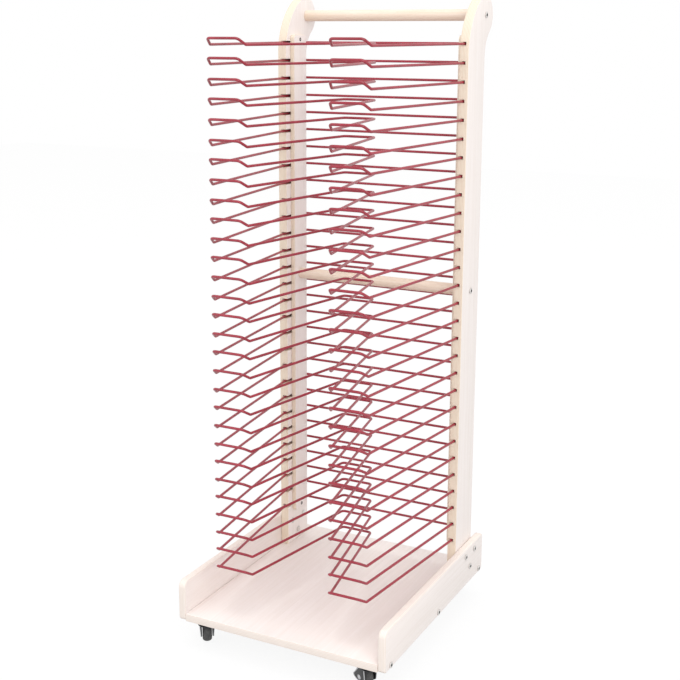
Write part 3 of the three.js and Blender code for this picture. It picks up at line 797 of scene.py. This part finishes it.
def caster_frame(name):
    """The swivel pin's place on the floor, the way the wheel trails, the way its axle runs and how
    far it trails."""
    joints = {joint["name"]: joint for joint in frame["joints"]}
    pin = np.array(joints[f"{name}_swivel"]["pos_m"]) * (1, 1, 0)
    axle = np.array(joints[f"{name}_roll"]["pos_m"])
    trail_way = unit((axle - pin) * (1, 1, 0))
    return pin, trail_way, np.cross(UP, trail_way), np.linalg.norm((axle - pin)[:2])


def arm_outline(trail):
    """An arm in trail and height: half an ellipse below the axle, a straight rear edge up to the
    crown, and an upright front edge."""
    angles = np.linspace(math.pi, 2 * math.pi, SKIRT_STEPS + 1)
    skirt = np.array((SKIRT_HALF, SKIRT_DROP)) * np.stack((np.cos(angles), np.sin(angles)), -1)
    front = trail - SKIRT_HALF
    top = ((front + ARM_WIDTH, CROWN_LEVEL), (front, CROWN_LEVEL))
    return np.concatenate((skirt + (trail, AXLE_LEVEL), top))


def flared(flat, side):
    """Trail, height and depth parts of an arm as trail, axle and height parts, leaning out by the
    flare times a smooth step of the height above the axle."""
    rise = np.clip((flat[..., 1] - AXLE_LEVEL) / (CROWN_LEVEL - AXLE_LEVEL), 0, 1)
    lean = side * ARM_FLARE * rise**2 * (3 - 2 * rise)
    return np.stack((flat[..., 0], lean - flat[..., 2], flat[..., 1]), -1)


def fork_arm(trail, side):
    """A sheet arm over its outline."""
    depths = sorted((-side * ARM_INNER, -side * ARM_OUTER))
    return skin(flared(board_rings(arm_outline(trail), *depths, ARM_EASE), side))


def arm_bead(trail, side):
    """The rolled edge of an arm: a round bead on its outer face, as far inside the outline as the
    bead's own radius."""
    rings = board_rings(arm_outline(trail), -side * ARM_OUTER, -side * ARM_OUTER, BEAD_RADIUS)
    path = flared(rings[0], side)
    return skin(wire_rings(path, BEAD_RADIUS, BEAD_SIDES, upright=(0, 1, 0)), looped=True)


def rim_choice(parts):
    """Marks the faces of the two beads, the last parts, as bare rims and all others as painted."""
    *painted, near_bead, far_bead = [len(faces) for _, faces in parts]
    return [0] * sum(painted) + [1] * (near_bead + far_bead)


def fork_crown():
    """The crown disc with a rolled rim, and the swivel pin that stands on it."""
    return skin(turned_rings(CROWN_SECTION, (0, 0, 0), UP, TURNED_SIDES))


def axle_head(trail, side):
    """A domed rivet head on the outer face of an arm."""
    dome = dome_section(RIVET_RADIUS, RIVET_RISE)
    seat = (trail, side * ARM_OUTER, AXLE_LEVEL)
    return skin(turned_rings(dome, seat, (0, side, 0), TURNED_SIDES))


def wheel_section():
    """Radius and width of the wheel: bore, hub, dish and rim, a tread that swells as half an
    ellipse less the fine ripple of its ridges, and the other side's mirror image to the bore."""
    flank = np.array(WHEEL_FLANK)
    across = np.linspace(TREAD_HALF, -TREAD_HALF, RIDGE_STEPS * TREAD_RIDGES + 1)
    swell = TREAD_SWELL * np.sqrt(1 - (across / WHEEL_HALF) ** 2)
    ridge_turn = 2 * math.pi * TREAD_RIDGES * across / (2 * WHEEL_HALF)
    ripple = RIDGE_DEPTH / 2 * (1 - np.cos(ridge_turn))
    tread = np.stack((WHEEL_RADIUS - TREAD_SWELL + swell - ripple, across), -1)
    return np.concatenate((flank, tread, flank[::-1] * (1, -1)))


def caster_plate():
    """The square plate with rounded corners, and under it the grooved ring of the ball race."""
    outline = rounded_rectangle((-PLATE_HALF,) * 2, (PLATE_HALF,) * 2, (PLATE_CORNER,) * 4)
    plate = skin(board_rings(outline, PLATE_LOWER, PLATE_UPPER, PLATE_EASE))
    race = skin(turned_rings(RACE_SECTION, (0, 0, 0), UP, TURNED_SIDES), looped=True)
    return gathered((plate, race))


def caster(name):
    """Plate and screws on the rack, pressing and rivets on the fork, and the wheel. Fork and wheel
    are made with trail, axle and height parts about the pin and put into the rack's axes."""
    pin, trail_way, axle_way, trail = caster_frame(name)

    def placed(points):
        return pin + points[:, :1] * trail_way + points[:, 1:2] * axle_way + points[:, 2:] * UP

    points, faces = caster_plate()
    piece(f"{name}_plate_and_race", points + pin, faces, (BLACK_LACQUER,), "rack",
          replaces=(f"{name}_caster_plate",))
    offsets = PLATE_SCREW_OFFSET * np.array(((1, 1), (1, -1), (-1, -1), (-1, 1)))
    points, faces = gathered([
        cross_screw((*offset, PLATE_LOWER), -UP, domed=True) for offset in offsets
    ])
    piece(f"{name}_plate_screws", points + pin, faces, (SCREW_ZINC,), "rack")

    sheets = [part(trail, side) for part in (fork_arm, arm_bead) for side in (1, -1)]
    parts = (fork_crown(), *sheets)
    points, faces = gathered(parts)
    piece(f"{name}_fork_pressing", placed(points), faces, (BLACK_LACQUER, BARE_STEEL),
          f"{name}_fork", chosen=rim_choice(parts),
          replaces=(f"{name}_caster_fork",))
    points, faces = gathered((axle_head(trail, 1), axle_head(trail, -1)))
    piece(f"{name}_axle_rivets", placed(points), faces, (BARE_STEEL,), f"{name}_fork")

    section = wheel_section()
    rings = turned_rings(section, (trail, 0, AXLE_LEVEL), (0, -1, 0), WHEEL_SIDES)
    points, faces = skin(rings, looped=True)
    on_hub = section[:, 0] < HUB_RADIUS
    hub_faces = np.repeat(on_hub & np.roll(on_hub, -1), WHEEL_SIDES)
    piece(f"{name}_wheel_piece", placed(points), faces, (TREAD, HUB), f"{name}_wheel",
          chosen=hub_faces, replaces=(f"{name}_caster_wheel",))


for caster_name in CASTERS:
    caster(caster_name)


# Studio

def seen_share(tree):
    """One for rays from the camera or by way of a shiny or clear surface, and nought for others."""
    path = add(tree, "LightPath").outputs
    seen = path["Is Camera Ray"]
    for kind in ("Is Glossy Ray", "Is Transmission Ray"):
        seen = add(tree, "Math", {0: seen, 1: path[kind]}, operation="MAXIMUM").outputs[0]
    return seen


def studio_floor():
    """White to the camera but for the shadows, which a share of plain diffuse floor keeps."""
    finish, tree, shader = new_finish("studio_floor", Roughness=0.9, Specular_IOR_Level=0.1)
    seen = seen_share(tree)
    tone = spread(tree, seen, (0.0, 1.0), (FLOOR_BOUNCE, FLOOR_TONE))
    tree.links.new(tone, shader.inputs["Base Color"])
    share = add(tree, "Math", {0: seen, 1: FLOOR_GLOW}, operation="MULTIPLY")
    glow = add(tree, "Emission", {"Color": (1, 1, 1, 1), "Strength": 1.0})
    mix = add(tree, "MixShader", {0: share.outputs[0], 1: shader.outputs[0], 2: glow.outputs[0]})
    tree.links.new(mix.outputs[0], tree.nodes["Material Output"].inputs[0])
    return finish


def studio_world():
    """Even dome light on the object, and plain white where the camera or a reflection looks."""
    world = bpy.data.worlds.new("studio")
    world.use_nodes = True
    tree = world.node_tree
    background = tree.nodes["Background"]
    background.inputs["Color"].default_value = (1, 1, 1, 1)
    strength = spread(tree, seen_share(tree), (0.0, 1.0), (DOME_STRENGTH, 1.0))
    tree.links.new(strength, background.inputs["Strength"])
    bpy.context.scene.world = world


def set_pose(obj, place, ahead, above):
    """Puts a camera or lamp at a place, looking ahead along its own -z."""
    back = unit(-np.asarray(ahead, float))
    right = unit(np.cross(above, back))
    columns = np.stack((right, np.cross(back, right), back, place), -1)
    obj.matrix_world = Matrix((*columns.tolist(), (0, 0, 0, 1)))


def softbox(name, place, width, watts):
    """A square soft light that looks from its place at the rack."""
    lamp = bpy.data.lights.new(name, "AREA")
    lamp.shape = "SQUARE"
    lamp.size = width
    lamp.energy = watts
    obj = bpy.data.objects.new(name, lamp)
    bpy.context.scene.collection.objects.link(obj)
    set_pose(obj, place, np.subtract(LIGHT_AIM, place), UP)


def studio_camera():
    """The photograph's view, with a lens shift that keeps the rack's place in the frame."""
    camera = bpy.data.cameras.new("photo_view")
    camera.sensor_width = CAMERA_SENSOR
    camera.lens = CAMERA_LENS
    camera.shift_y = CAMERA_SHIFT_UP
    obj = bpy.data.objects.new("photo_view", camera)
    bpy.context.scene.collection.objects.link(obj)
    set_pose(obj, CAMERA_PLACE, CAMERA_AHEAD, np.cross(CAMERA_RIGHT, CAMERA_AHEAD))
    bpy.context.scene.camera = obj


floor_points = FLOOR_HALF * np.array(((-1, -1, 0), (1, -1, 0), (1, 1, 0), (-1, 1, 0)))
floor_mesh = bpy.data.meshes.new("studio_floor")
floor_mesh.from_pydata(floor_points, [], [(0, 1, 2, 3)])
floor_mesh.materials.append(studio_floor())
floor = bpy.data.objects.new("studio_floor", floor_mesh)
bpy.context.scene.collection.objects.link(floor)

studio_world()
studio_camera()
for light_name, (place, width, watts) in SOFTBOXES.items():
    softbox(light_name, place, width, watts)
bpy.context.scene.view_settings.view_transform = "Standard"
